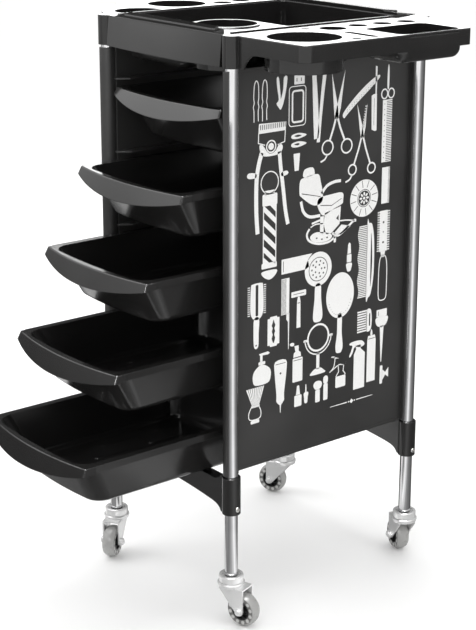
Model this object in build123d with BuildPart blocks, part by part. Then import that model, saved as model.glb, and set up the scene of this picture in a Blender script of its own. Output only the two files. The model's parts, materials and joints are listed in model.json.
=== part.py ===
from build123d import *

import os
from math import cos, hypot, pi, radians, sin, sqrt

# Salon trolley cart. Two moulded side panels hang between four chromed legs and carry five
# sliding trays. The legs run from swivel casters up into a three-piece moulded top.
# Millimetres, +Z up, -Y is the side the trays pull out to, +X is the user's right.
# Pieces are drawn about the centre of the four legs, and save() moves them to the row's
# origin, which is under the middle of the whole footprint.

os.makedirs("parts", exist_ok=True)

# ---------------------------------------------------------------- driving dimensions
leg_x, leg_y = 148.0, 176.0  # leg axes, half spacings
leg_r, leg_wall = 9.5, 1.2
leg_z0, deck_z = 75.0, 860.0  # foot of the legs, top face of the deck
deck_t = 3.0  # deck plate
wall = 2.5  # general moulded wall
slip = 0.15  # assembly gap round a leg

top_sleeve_r, top_sleeve_z0 = 13.0, 816.0
base_sleeve_r, base_sleeve_z0, base_sleeve_z1 = 13.5, 171.5, 228.0
base_screw_z, base_screw_r = 181.0, 2.0

panel_z0, panel_z1 = 230.0, 812.0
panel_x0, panel_x1 = 136.0, 141.5  # inner and outer faces of a side panel
channel_r = 12.0  # the channel that wraps a leg

tray_rims = (756.0, 645.5, 533.0, 413.5, 292.5)  # rim heights, top to bottom
tray_pulled = (0.0, 66.0, 127.0, 178.0, 232.0)  # how far each tray is out, top to bottom
tray_front_y = -leg_y  # ends of a closed tray's handle
tray_len, tray_half = 338.0, 125.0
tray_rim_h, tray_depth = 10.0, 71.0
handle_bow, handle_h, handle_end_h = 15.0, 26.0, 10.0
handle_lean, handle_flare = 12.0, 4.0  # how far the foot of the skirt stands out, front and sides
rail_tip_x, rail_t, rail_gap = 121.0, 3.0, 8.0

centre_half = 134.5  # half width of the centre top tray
fascia_top_y, fascia_end_lean, fascia_lean, fascia_bow = 182.0, 4.0, 8.0, 3.0
ridge_foot_y, ridge_step_y = 182.5, 173.5  # outer feet of a ridge's two layers
ridge_low, ridge_high = (0.3, 4.6), (3.8, 6.8)  # outer and inner height of each layer
seam_bead, seam_rise = 3.0, 1.6  # raised edge of the centre tray along its seams
bin_x, bin_y0, bin_y1, bin_floor_z = 125.0, -150.0, 145.0, 797.0
cup_x, cup_y, cup_r, cup_z0 = 56.0, -112.0, 43.0, 801.0
cup_lip, cup_lip_h = 4.5, 1.7

wing_x0, wing_x1, wing_skirt = 135.5, 290.0, 23.0
dryer_r, dryer_z0 = 50.0, 817.0  # dryer holder, and the foot of every round holder
dryer_lip = 6.0  # inner flange at the foot of a dryer holder

wheel_r, wheel_half, trail = 25.0, 10.0, 22.0
axle_z, axle_r = 25.0, 3.0
fork_z, fork_t, fork_half = 58.0, 2.5, 14.0
race_r, cup_ring_r, ball_r, ball_pitch_r, balls = 20.0, 18.0, 3.0, 11.5, 9

caster_heading = {"front_left": -54.0, "front_right": 18.0, "rear_left": 204.0, "rear_right": 159.0}
bolt_head_r, bolt_head_t, bolt_head_round = 5.2, 4.6, 2.2

# The footprint runs from the lower edge of the lowest handle to the bolt head of the right
# rear caster. Its middle is the origin.
front_reach = leg_y + tray_pulled[-1] + handle_bow + handle_lean
turned = radians(caster_heading["rear_right"])
rear_reach = (leg_y + trail * sin(turned) - (fork_half + bolt_head_t) * cos(turned)
              + (bolt_head_r - bolt_head_round) * sin(turned))
leg_centre_y = (front_reach - rear_reach) / 2
print("legs are centred on y =", round(leg_centre_y, 3))

SIDES = {"left": -1, "right": 1}
ENDS = {"front": -1, "rear": 1}


def save(piece, name, place=Location()):
    """Label one finished piece, move it from where it was drawn to the row's frame, write it."""
    placed = piece.part.moved(Location((0, leg_centre_y, 0)) * place)
    placed.label = name
    export_step(placed, f"parts/{name}.step")


# ---------------------------------------------------------------- legs
for end, sy in ENDS.items():
    for side, sx in SIDES.items():
        with BuildPart() as leg:
            with BuildSketch(Plane((sx * leg_x, sy * leg_y, leg_z0))):
                Circle(leg_r)
                Circle(leg_r - leg_wall, mode=Mode.SUBTRACT)
            extrude(amount=deck_z - deck_t - leg_z0)
            with BuildSketch(Plane((sx * leg_x, sy * leg_y, base_screw_z), z_dir=(sx, 0, 0))):
                Circle(base_screw_r + 0.1)
            extrude(amount=leg_r + 1, mode=Mode.SUBTRACT)
        save(leg, f"leg_{end}_{side}")


# ---------------------------------------------------------------- base rails
def base_rail(sy):
    """Moulded cross rail with a leg sleeve at each end and a curved gusset under each sleeve."""
    half_t, top_z, low_z, arch_z = 9.0, 219.0, base_sleeve_z0, 184.0
    arch_x = leg_x - base_sleeve_r - 34
    with BuildPart() as rail:
        with BuildSketch(Plane((0, sy * leg_y, low_z))):
            Rectangle(2 * leg_x, 2 * half_t)
            with Locations((-leg_x, 0), (leg_x, 0)):
                Circle(base_sleeve_r)
        extrude(amount=base_sleeve_z1 - low_z)
        inner_x = leg_x - base_sleeve_r
        with BuildSketch(Plane((0, sy * leg_y - 30, 0), x_dir=(1, 0, 0), z_dir=(0, -1, 0))):
            with BuildLine():
                above = Polyline((inner_x, base_sleeve_z1 + 5), (-inner_x, base_sleeve_z1 + 5),
                                 (-inner_x, base_sleeve_z1 - 1))
                dip = Spline(above @ 1, (-inner_x + 16, top_z), tangents=((1, -1.4), (1, 0)))
                top = Line(dip @ 1, (inner_x - 16, top_z))
                rise = Spline(top @ 1, (inner_x, base_sleeve_z1 - 1), tangents=((1, 0), (1, 1.4)))
                Line(rise @ 1, above @ 0)
            make_face()
            with BuildLine():
                below = Line((inner_x, low_z - 5), (-inner_x, low_z - 5))
                foot = Line(below @ 1, (-inner_x, low_z + 1))
                web = Spline(foot @ 1, (-arch_x, arch_z), tangents=((0.5, 1), (1, 0.12)))
                arch = ThreePointArc(web @ 1, (0, arch_z + 5), (arch_x, arch_z))
                far_web = Spline(arch @ 1, (inner_x, low_z + 1), tangents=((1, -0.12), (0.5, -1)))
                Line(far_web @ 1, below @ 0)
            make_face()
        extrude(amount=-60, mode=Mode.SUBTRACT)
        # The rail is a channel, open below.
        with BuildSketch(Plane((0, sy * leg_y, low_z - 5))):
            Rectangle(2 * (inner_x - 8), 2 * (half_t - wall))
        extrude(amount=top_z - wall - low_z + 5, mode=Mode.SUBTRACT)
        with BuildSketch(Plane((0, sy * leg_y, low_z - 1))):
            with Locations((-leg_x, 0), (leg_x, 0)):
                Circle(leg_r + slip)
        extrude(amount=base_sleeve_z1 - low_z + 2, mode=Mode.SUBTRACT)
        for sx in (-1, 1):
            with BuildSketch(Plane((sx * leg_x, sy * leg_y, base_screw_z), z_dir=(sx, 0, 0))):
                Circle(base_screw_r + 0.1)
            extrude(amount=base_sleeve_r + 2, mode=Mode.SUBTRACT)
        rims = rail.edges().filter_by(GeomType.CIRCLE).filter_by_position(
            Axis.Z, base_sleeve_z1 - 0.1, base_sleeve_z1 + 0.1)
        fillet(rims.sort_by(Edge.length)[-2:], 1.2)
    return rail


for end, sy in ENDS.items():
    save(base_rail(sy), f"base_rail_{end}")

# Pan-head screws that pin the base sleeves to the legs, one on the outer side of each.
# The screw is drawn with its axis on Z and the underside of its head at Z = 0.
with BuildPart() as pan_screw:
    with BuildSketch(Plane.XY):
        Circle(3.9)
    extrude(amount=2.6)
    fillet(pan_screw.edges().group_by(Axis.Z)[-1], 1.4)
    with BuildSketch(Plane.XY.offset(1.2)):
        Rectangle(4.2, 0.9)
        Rectangle(0.9, 4.2)
    extrude(amount=2, mode=Mode.SUBTRACT)
    with BuildSketch(Plane.XY):
        Circle(base_screw_r)
    extrude(amount=-7)

with BuildPart() as base_screws:
    for sx in (-1, 1):
        for sy in (-1, 1):
            seat = Plane((sx * (leg_x + base_sleeve_r), sy * leg_y, base_screw_z),
                         x_dir=(0, 1, 0), z_dir=(sx, 0, 0))
            add(pan_screw.part.moved(seat.location))
save(base_screws, "base_screws")


# ---------------------------------------------------------------- side panels
def side_panel(sx):
    """Flat panel whose front and rear edges wrap the legs, with five pairs of tray rails."""
    mid_x, plate_t = sx * (panel_x0 + panel_x1) / 2, panel_x1 - panel_x0
    height = panel_z1 - panel_z0
    with BuildPart() as panel:
        with BuildSketch(Plane.XY.offset(panel_z0)):
            with Locations((mid_x, 0)):
                Rectangle(plate_t, 2 * (leg_y - 7.0))
            for sy in (-1, 1):
                with Locations((sx * leg_x, sy * leg_y)):
                    Circle(channel_r)
            for sy in (-1, 1):
                # The channel is open on the outer side, where the chrome shows. It closes further
                # round the back of a front leg than of a rear one.
                with BuildLine():
                    angles = (60, -5, -78) if sy < 0 else (102, 12, -78)
                    fan = [(30 * cos(radians(a)), 30 * sin(radians(a))) for a in angles]
                    edge = [(sx * (leg_x + u), sy * (leg_y + v)) for u, v in fan]
                    Polyline((sx * leg_x, sy * leg_y), *edge, close=True)
                make_face(mode=Mode.SUBTRACT)
                with Locations((sx * leg_x, sy * leg_y)):
                    Circle(leg_r + slip, mode=Mode.SUBTRACT)
        extrude(amount=height)
        # Stiffening lips along the lower and upper edges, on the outer face.
        for z in (panel_z0, panel_z1 - 4):
            with BuildSketch(Plane.XY.offset(z)):
                with Locations((sx * (panel_x1 + 0.5), 0)):
                    Rectangle(1.2, 2 * (leg_y - 13))
            extrude(amount=4)
        for rim_z in tray_rims:
            for z in (rim_z + rail_gap, rim_z - tray_rim_h - rail_t - 0.3):
                with BuildSketch(Plane.XY.offset(z)):
                    with BuildLine():
                        Polyline((sx * (panel_x0 + 1), -leg_y + 8), (sx * (panel_x0 + 1), leg_y - 8),
                                 (sx * rail_tip_x, leg_y - 18), (sx * rail_tip_x, -leg_y + 22),
                                 (sx * (panel_x0 - 4), -leg_y + 4), (sx * panel_x0, -leg_y + 3),
                                 close=True)
                    make_face()
                extrude(amount=rail_t)
    return panel


for side, sx in SIDES.items():
    save(side_panel(sx), f"side_panel_{side}")


# ---------------------------------------------------------------- trays
# A tray is drawn closed, with Y = 0 at the ends of its handle and Z = 0 at the top of its rim.
def bowed_plan(half_w, y0, bow, y1, front_corner=0.0, back_corner=0.0):
    """Sketch with straight sides and back and a bowed front, its corners rounded."""
    with BuildSketch(mode=Mode.PRIVATE) as plan:
        with BuildLine():
            Polyline((half_w, y0), (half_w, y1), (-half_w, y1), (-half_w, y0))
            ThreePointArc((-half_w, y0), (0, y0 - bow), (half_w, y0))
        make_face()
        if back_corner:
            fillet(plan.vertices().group_by(Axis.Y)[-1], back_corner)
        if front_corner:
            fillet(plan.vertices().group_by(Axis.Y)[0], front_corner)
    return plan.sketch


def bowl(top_z, top, low_z, low, edge_r):
    """Tapered block between two plans, each given as bowed_plan's values, bottom edge rounded."""
    with BuildPart() as block:
        with BuildSketch(Plane.XY.offset(low_z)):
            add(bowed_plan(*low))
        with BuildSketch(Plane.XY.offset(top_z)):
            add(bowed_plan(*top))
        loft()
        fillet(block.edges().group_by(Axis.Z)[0], edge_r)
    return block.part


with BuildPart() as handle:
    for inset, top_z in ((0.0, 0.0), (wall, -wall)):
        fall = -top_z / handle_h
        half, back, corner = tray_half - inset, 16 - inset, 3.0 - inset
        with BuildSketch(Plane.XY.offset(top_z)):
            add(bowed_plan(half + fall * handle_flare, inset - fall * handle_lean, handle_bow,
                           back, corner))
        with BuildSketch(Plane.XY.offset(-handle_h)):
            add(bowed_plan(half + handle_flare, inset - handle_lean, handle_bow, back + inset * 4, corner))
        loft(mode=Mode.SUBTRACT if inset else Mode.ADD)
    # The lower edge of the skirt arches down from its ends to its middle.
    with BuildSketch(Plane.XZ.offset(60)):
        with BuildLine():
            reach = tray_half + handle_flare + 2
            Polyline((reach, -handle_end_h), (reach, -90), (-reach, -90), (-reach, -handle_end_h))
            ThreePointArc((-reach, -handle_end_h), (0, -handle_h), (reach, -handle_end_h))
        make_face()
    extrude(amount=-100, mode=Mode.SUBTRACT)
    # The skirt has no end walls below the rim, so it passes in front of the rails.
    with BuildSketch(Plane.XY.offset(-handle_h - 1)):
        with Locations((-tray_half, 11), (tray_half, 11)):
            Rectangle(18, 16)
    extrude(amount=handle_h + 1 - tray_rim_h, mode=Mode.SUBTRACT)
    top_edges = handle.edges().filter_by_position(Axis.Z, -0.01, 0.01)
    fillet([e for e in top_edges if e.center().Y < 2.5], 2.0)

basin_outside = bowl(-1.0, (116.5, -1.5, 7, tray_len - 8, 30, 26), -tray_depth,
                     (100, 36, 8, tray_len - 22, 28, 24), 12)
basin_inside = bowl(1.0, (114, 1, 7, tray_len - 10.5, 28, 24), wall - tray_depth,
                    (97.5, 38.5, 8, tray_len - 24.5, 26, 22), 10)

with BuildPart() as tray:
    add(basin_outside)
    add(handle.part)
    with BuildSketch(Plane.XY.offset(-tray_rim_h)):
        add(bowed_plan(tray_half, 8, 0.5, tray_len, back_corner=10))
    extrude(amount=tray_rim_h)
    # The rim is a turned-down lip with a groove between it and the basin.
    with BuildSketch(Plane.XY.offset(-tray_rim_h)):
        add(bowed_plan(tray_half - wall, 20, 0.5, tray_len - wall, 3, 8))
        add(bowed_plan(117, 0, 7, tray_len - 8, 30, 26), mode=Mode.SUBTRACT)
    extrude(amount=tray_rim_h - wall, mode=Mode.SUBTRACT)
    add(basin_inside, mode=Mode.SUBTRACT)
    # Raised pads on the floor, laid like bricks.
    pad_w, pad_len, pad_gap, first_y, last_y = 12.0, 76.0, 22.0, 56.0, tray_len - 44
    for column in range(-2, 3):
        pad_y = first_y - (column % 2) * 34
        while pad_y < last_y - 20:
            y0, y1 = max(pad_y, first_y), min(pad_y + pad_len, last_y)
            with BuildSketch(Plane.XY.offset(wall - tray_depth - 0.4)):
                with Locations((36 * column, (y0 + y1) / 2)):
                    SlotOverall(y1 - y0, pad_w, rotation=90)
            extrude(amount=1.4)
            pad_y += pad_len + pad_gap

for n, (rim_z, pulled) in enumerate(zip(tray_rims, tray_pulled), start=1):
    save(tray, f"tray_{n}", Location((0, tray_front_y - pulled, rim_z)))


# ---------------------------------------------------------------- top, centre tray
def bin_plan(grow):
    """Plan of the deep bin: its near right corner steps back in an arc round the cup."""
    around = cup_r + 12.5
    front_x = cup_x - sqrt(around**2 - (bin_y0 - cup_y)**2)
    with BuildSketch(mode=Mode.PRIVATE) as plan:
        with BuildLine():
            Polyline((front_x, bin_y0), (-bin_x, bin_y0), (-bin_x, bin_y1), (bin_x, bin_y1),
                     (bin_x, cup_y + around), (cup_x, cup_y + around))
            ThreePointArc((cup_x, cup_y + around),
                          (cup_x - around * sin(pi / 4), cup_y + around * sin(pi / 4)),
                          (front_x, bin_y0))
        make_face()
        tangent = (cup_x, cup_y + around)
        fillet([v for v in plan.vertices() if (v.X, v.Y) != tangent], 10)
        if grow:
            offset(amount=grow)
    return plan.sketch


def bin_block(grow, top_z, edge_r):
    """Solid of the bin, its floor edge rounded."""
    with BuildPart() as block:
        with BuildSketch(Plane.XY.offset(bin_floor_z - grow)):
            add(bin_plan(grow))
        extrude(amount=top_z - bin_floor_z + grow)
        fillet(block.edges().group_by(Axis.Z)[0], edge_r)
    return block.part


def fascia_band(end_y, mid_y, thick, sy):
    """Bowed strip in plan, its outer face at end_y at the ends and mid_y in the middle."""
    half = centre_half
    with BuildSketch(mode=Mode.PRIVATE) as band:
        with BuildLine():
            face = ThreePointArc((-half, sy * end_y), (0, sy * mid_y), (half, sy * end_y))
            back = ThreePointArc((half, sy * (end_y - thick)), (0, sy * (mid_y - thick)),
                                 (-half, sy * (end_y - thick)))
            Line(face @ 1, back @ 0)
            Line(back @ 1, face @ 0)
        make_face()
    return band.sketch


def ridge_layer(half_x, inner_y, outer_y, heights, sy):
    """Layer of a stepped ridge. Its top falls towards the fascia and its ends are rounded."""
    outer_h, inner_h = heights
    with BuildPart() as layer:
        with BuildSketch(Plane.YZ.offset(-half_x)):
            with BuildLine():
                Polyline((sy * inner_y, deck_z - 0.5), (sy * inner_y, deck_z + inner_h),
                         (sy * outer_y, deck_z + outer_h), (sy * outer_y, deck_z - 0.5), close=True)
            make_face()
        extrude(amount=2 * half_x)
        with BuildSketch(Plane.XZ.offset(-200)):
            with Locations((0, deck_z)):
                RectangleRounded(2 * half_x, 2 * inner_h, 4.5)
        extrude(amount=400, mode=Mode.INTERSECT)
    return layer.part


with BuildPart() as top_tray:
    face_y = fascia_top_y + 0.5
    with BuildSketch(Plane.XY.offset(deck_z - deck_t)):
        Rectangle(2 * centre_half, 2 * fascia_top_y - 4)
        for sy in (-1, 1):
            add(fascia_band(face_y, face_y + fascia_bow, 6, sy))
    extrude(amount=deck_t)
    for sy in (-1, 1):
        with BuildSketch(Plane.XY.offset(deck_z - 1)):
            add(fascia_band(face_y, face_y + fascia_bow, 3, sy))
        with BuildSketch(Plane.XY.offset(top_sleeve_z0)):
            add(fascia_band(face_y + fascia_end_lean, face_y + fascia_lean + fascia_bow, 3, sy))
        loft()
        # Returns at the ends of the fascia, beside the leg sleeves.
        for x in (-centre_half, centre_half - wall):
            with BuildSketch(Plane((x, 0, 0), x_dir=(0, 1, 0), z_dir=(1, 0, 0))):
                with BuildLine():
                    Polyline((sy * 166, deck_z - 2), (sy * 181, deck_z - 2),
                             (sy * 185, top_sleeve_z0), (sy * 166, top_sleeve_z0), close=True)
                make_face()
            extrude(amount=wall)
    for sy, inner_y, low_half, high_half in ((-1, 165, 118, 106), (1, bin_y1 + 2, 131, 102)):
        add(ridge_layer(low_half, inner_y, ridge_foot_y, ridge_low, sy))
        add(ridge_layer(high_half, inner_y, ridge_step_y, ridge_high, sy))
    for sx in (-1, 1):
        with BuildSketch(Plane.XY.offset(deck_z - 0.5)):
            with Locations((sx * (centre_half - seam_bead / 2), 0)):
                Rectangle(seam_bead, 2 * (leg_y - 10))
        extrude(amount=seam_rise + 0.5)
    add(bin_block(wall, deck_z, 11))
    with BuildSketch(Plane.XY.offset(cup_z0)):
        with Locations((cup_x, cup_y)):
            Circle(cup_r + wall)
    extrude(amount=deck_z - cup_z0)
    with BuildSketch(Plane.XY.offset(deck_z - 0.5)):
        with Locations((cup_x, cup_y)):
            Circle(cup_r + cup_lip)
    extrude(amount=cup_lip_h + 0.5)
    fillet([e for e in top_tray.edges().filter_by(GeomType.CIRCLE)
            if abs(e.radius - cup_r - cup_lip) < 0.01 and e.center().Z > deck_z + 1], 1.2)
    add(bin_block(0.0, deck_z + 5, 8), mode=Mode.SUBTRACT)
    with BuildSketch(Plane.XY.offset(cup_z0 + wall)):
        with Locations((cup_x, cup_y)):
            Circle(cup_r)
    extrude(amount=deck_z - cup_z0 + 5, mode=Mode.SUBTRACT)
save(top_tray, "top_tray")


# ---------------------------------------------------------------- top, side wings
def disc(x, y, r, z0, z1, mode=Mode.ADD):
    """Upright cylinder between two heights, added to or cut from the open part."""
    with BuildSketch(Plane.XY.offset(z0), mode=Mode.PRIVATE) as round_plan:
        with Locations((x, y)):
            Circle(r)
    extrude(round_plan.sketch, amount=z1 - z0, mode=mode)


def wing_plan(sx, corners, inset=0.0):
    """Plan of a wing: straight inner edge at the seam, outer corners given as (x, y, radius)."""
    with BuildSketch(mode=Mode.PRIVATE) as plan:
        with BuildLine():
            Polyline((sx * wing_x0, -leg_y), *[(sx * x, y) for x, y, r in corners],
                     (sx * wing_x0, leg_y), close=True)
        make_face()
        for x, y, r in corners:
            if r:
                fillet(plan.vertices().sort_by_distance((sx * x, y, 0))[0], r)
        if inset:
            offset(amount=-inset, kind=Kind.INTERSECTION)
    return plan.sketch


def wing_shell(sx, corners):
    """Deck plate, skirt, leg sleeves, gussets and the ledge that carries the centre tray."""
    skirt_z = deck_z - wing_skirt
    with BuildPart() as shell:
        with BuildSketch(Plane.XY.offset(skirt_z)):
            add(wing_plan(sx, corners))
        extrude(amount=wing_skirt)
        fillet(shell.edges().group_by(Axis.Z)[-1], 1.2)
        with BuildSketch(Plane.XY.offset(skirt_z)):
            add(wing_plan(sx, corners, wall))
        extrude(amount=wing_skirt - deck_t, mode=Mode.SUBTRACT)
        for sy in (-1, 1):
            disc(sx * leg_x, sy * leg_y, top_sleeve_r, top_sleeve_z0, deck_z)
            # Gusset from the sleeve to the skirt, its free edge a quarter arc.
            tip_x, tip_y = (corners[1][0], corners[1][1]) if sy < 0 else corners[-2][:2]
            run = hypot(tip_x - leg_x, tip_y - sy * leg_y)
            along = ((tip_x - leg_x) / run * sx, (tip_y - sy * leg_y) / run, 0)
            web = Plane((sx * leg_x, sy * leg_y, 0), x_dir=along,
                        z_dir=(along[1], -along[0], 0))
            with BuildSketch(web):
                with BuildLine():
                    foot, crown, end = (24, top_sleeve_z0), (34, skirt_z - 6), (58, skirt_z + 1)
                    Polyline(foot, (11, top_sleeve_z0), (11, deck_z - 2), (58, deck_z - 2), end)
                    ThreePointArc(end, crown, foot)
                make_face()
            extrude(amount=wall if along[0] * sy > 0 else -wall)
        with BuildSketch(Plane.XY.offset(deck_z - deck_t - 4)):
            with Locations((sx * (wing_x0 - 2.8), 0)):
                Rectangle(7.6, 2 * (leg_y - 32))
        extrude(amount=4)
        for sy in (-1, 1):
            disc(sx * leg_x, sy * leg_y, leg_r + slip, top_sleeve_z0 - 1, deck_z - deck_t, Mode.SUBTRACT)
    return shell.part


def pocket(middle, size, corner_r, z0, z1, edge_r):
    """Rounded box for one side of a pocket's wall, its lower edge rounded."""
    with BuildPart() as block:
        with BuildSketch(Plane.XY.offset(z0)):
            with Locations(middle):
                RectangleRounded(*size, corner_r)
        extrude(amount=z1 - z0)
        fillet(block.edges().group_by(Axis.Z)[0], edge_r)
    return block.part


wing_right_corners = [(leg_x, -leg_y, 0), (wing_x1, -171, 14), (wing_x1, 135, 12), (leg_x, leg_y, 0)]
cups = ((178, -23, 19.0), (175, 26, 13.5), (179, 69, 13.5), (183, 112, 13.5))
pin_holes = ((160, -57), (276, -69))
pin_hole_r = 6.4
dryer_x, dryer_y = 221.0, -112.0
tint_x0, tint_x1, tint_y0, tint_y1, tint_z0 = 207.5, 286.5, 4.0, 119.0, 820.0
tint_mid = ((tint_x0 + tint_x1) / 2, (tint_y0 + tint_y1) / 2)
comb_gap, comb_pitch, comb_teeth = 1.7, 3.4, 27
with BuildPart() as wing_right:
    add(wing_shell(1, wing_right_corners))
    disc(dryer_x, dryer_y, dryer_r + wall, dryer_z0, deck_z - 1)
    for x, y, r in cups:
        disc(x, y, r + 2, dryer_z0, deck_z - 1)
    outer_size = (tint_x1 - tint_x0 + 2 * wall, tint_y1 - tint_y0 + 2 * wall)
    add(pocket(tint_mid, outer_size, 15.5, tint_z0, deck_z - 1, 14))
    inner_size = (tint_x1 - tint_x0, tint_y1 - tint_y0)
    add(pocket(tint_mid, inner_size, 13, tint_z0 + wall, deck_z + 5, 11.5), mode=Mode.SUBTRACT)
    disc(dryer_x, dryer_y, dryer_r, dryer_z0 + wall, deck_z + 1, Mode.SUBTRACT)
    disc(dryer_x, dryer_y, dryer_r - dryer_lip, dryer_z0 - 1, deck_z, Mode.SUBTRACT)
    for x, y, r in cups:
        disc(x, y, r, dryer_z0 + wall, deck_z + 1, Mode.SUBTRACT)
    for x, y in pin_holes:
        disc(x, y, pin_hole_r, deck_z - 5, deck_z + 1, Mode.SUBTRACT)
    with BuildSketch(Plane.XY.offset(deck_z - 5)):
        with Locations((248, -35)):
            SlotOverall(62, 12)
    extrude(amount=6, mode=Mode.SUBTRACT)
    # Comb teeth along the outer rim of the tint pocket.
    with BuildSketch(Plane.XY.offset(deck_z - 4.5)):
        with Locations((wing_x1 - 1, tint_mid[1])):
            with GridLocations(0, comb_pitch, 1, comb_teeth):
                Rectangle(8, comb_gap)
    extrude(amount=6, mode=Mode.SUBTRACT)
save(wing_right, "wing_right")

wing_left_corners = [(leg_x, -leg_y, 0), (168, -166, 0), (wing_x1, -50, 26), (wing_x1, 135, 12),
                     (leg_x, leg_y, 0)]
left_cups = ((-165, 53, 15.0), (-168, 92, 14.0))
left_dryer_x, left_dryer_y, left_dryer_r = -196.0, -13.0, 45.0
dish_z0 = 832.0
with BuildPart() as wing_left:
    add(wing_shell(-1, wing_left_corners))
    disc(left_dryer_x, left_dryer_y, left_dryer_r + wall, dryer_z0, deck_z - 1)
    for x, y, r in left_cups:
        disc(x, y, r + 2, dryer_z0, deck_z - 1)
    for grow, z0, z1, mode in ((wall, dish_z0, deck_z - 1, Mode.ADD),
                               (0.0, dish_z0 + wall, deck_z + 1, Mode.SUBTRACT)):
        # A round-backed pin dish by the front leg and a square dish in the outer rear corner.
        with BuildSketch(Plane.XY.offset(z0)):
            with BuildLine():
                Line((-143, -78), (-143, -150))
                ThreePointArc((-143, -150), (-190, -114), (-143, -78))
            make_face()
            with Locations((-244, 84)):
                RectangleRounded(76, 74, 14)
            if grow:
                offset(amount=grow)
        extrude(amount=z1 - z0, mode=mode)
    disc(left_dryer_x, left_dryer_y, left_dryer_r, dryer_z0 + wall, deck_z + 1, Mode.SUBTRACT)
    disc(left_dryer_x, left_dryer_y, left_dryer_r - dryer_lip, dryer_z0 - 1, deck_z, Mode.SUBTRACT)
    for x, y, r in left_cups:
        disc(x, y, r, dryer_z0 + wall, deck_z + 1, Mode.SUBTRACT)
save(wing_left, "wing_left")


# ---------------------------------------------------------------- casters
# A caster is drawn about its swivel axis, trailing towards +X, with Z = 0 on the floor.
stem_r, stem_top_z, ring_low_z = 4.0, 106.0, 65.2
ring_web_z0, ring_web_z1 = 70.9, 72.9
head_z = fork_z - 2.5
core_r, core_half, boss_r, face_r = 21.0, 4.5, 6.5, 14.5
lug_count, lug_pitch_r, lug_r = 12, 17.8, 2.9

# Pressed ring and riveted stem, which stay with the leg.
with BuildPart() as caster_stem:
    with BuildSketch(Plane.XZ):
        with BuildLine():
            r = cup_ring_r
            Polyline((0, head_z), (6.5, head_z), (6.5, fork_z - 0.3), (stem_r, fork_z - 0.3),
                     (stem_r, ring_web_z0), (r - 1.8, ring_web_z0), (r - 1.8, ring_low_z),
                     (r, ring_low_z), (r, 73.2))
            Spline((r, 73.2), (r - 1.9, 75.3), (r - 4.4, 75.2), (r - 5.6, ring_web_z1),
                   tangents=((0, 1), (-0.4, -1)))
            Polyline((r - 5.6, ring_web_z1), (stem_r, ring_web_z1), (stem_r, stem_top_z - 1),
                     (stem_r - 1, stem_top_z), (0, stem_top_z), (0, head_z))
        make_face()
    revolve(axis=Axis.Z)

# Plastic socket pressed into the foot of the leg, its collar under the tube.
with BuildPart() as stem_socket:
    with BuildSketch(Plane.XY.offset(ring_web_z1)):
        Circle(leg_r - 0.4)
        Circle(stem_r + 0.02, mode=Mode.SUBTRACT)
    extrude(amount=leg_z0 - ring_web_z1)
    with BuildSketch(Plane.XY.offset(leg_z0)):
        Circle(leg_r - leg_wall - 0.02)
        Circle(stem_r + 0.02, mode=Mode.SUBTRACT)
    extrude(amount=36)
    fillet(stem_socket.edges().group_by(Axis.Z)[-1], 0.8)

# Pressed yoke: a top plate with a raised ball race, and two cheeks down to the axle.
tip_x = trail + 6.5
with BuildPart() as caster_fork:
    with BuildSketch(Plane.XY.offset(fork_z)):
        Circle(race_r - 1)
        with Locations((tip_x / 2, 0)):
            Rectangle(tip_x, 2 * fork_half)
    extrude(amount=fork_t)
    for face_y in (fork_half, fork_t - fork_half):
        with BuildSketch(Plane.XZ.offset(-face_y)):
            with BuildLine():
                Polyline((tip_x, axle_z), (tip_x, fork_z + fork_t), (-12.5, fork_z + fork_t),
                         (-12.5, fork_z - 3), (trail - 5.4, axle_z - 3.6))
                ThreePointArc((trail - 5.4, axle_z - 3.6), (trail + 1.6, axle_z - 6.3),
                              (tip_x, axle_z))
            make_face()
        extrude(amount=fork_t)
    bends = caster_fork.edges().filter_by(Axis.X).filter_by_position(
        Axis.Z, fork_z + fork_t - 0.01, fork_z + fork_t + 0.01)
    fillet([e for e in bends if abs(abs(e.center().Y) - fork_half) < 0.01], 1.8)
    with BuildSketch(Plane.XZ):
        with BuildLine():
            low, high = fork_z + fork_t - 0.2, 64.6
            Polyline((9, low), (race_r - 1, low), (race_r, low + 1), (race_r, high - 1.4),
                     (race_r - 1.4, high), (9, high), close=True)
        make_face()
    revolve(axis=Axis.Z)
    with BuildSketch(Plane.XY.offset(fork_z - 1)):
        Circle(stem_r + 0.06)
    extrude(amount=10, mode=Mode.SUBTRACT)
    with BuildSketch(Plane.XZ.offset(-fork_half - 1)):
        with Locations((trail, axle_z)):
            Circle(axle_r + 0.05)
    extrude(amount=2 * fork_half + 2, mode=Mode.SUBTRACT)

with BuildPart() as swivel_balls:
    with Locations(Plane.XY.offset(67.7)):
        with PolarLocations(ball_pitch_r, balls):
            Sphere(ball_r)

# Axle bolt and nut. Both, like the wheel, are drawn on the axle line, Y along the axle.
with BuildPart() as caster_axle:
    with BuildSketch(Plane.XZ.offset(fork_half)):
        Circle(bolt_head_r)
    extrude(amount=bolt_head_t)
    fillet(caster_axle.edges().filter_by(GeomType.CIRCLE).sort_by(Axis.Y)[0], bolt_head_round)
    with BuildSketch(Plane.XZ.offset(fork_half)):
        Circle(axle_r)
    extrude(amount=-2 * fork_half - 6.2)
    chamfer(caster_axle.edges().filter_by(GeomType.CIRCLE).sort_by(Axis.Y)[-1], 0.7)

with BuildPart() as caster_nut:
    with BuildSketch(Plane.XZ.offset(-fork_half)):
        RegularPolygon(5.6, 6)
        Circle(axle_r + 0.02, mode=Mode.SUBTRACT)
    extrude(amount=-4.8)
    chamfer(caster_nut.edges().group_by(Axis.Y)[-1].filter_by(GeomType.LINE), 0.5)

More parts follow.
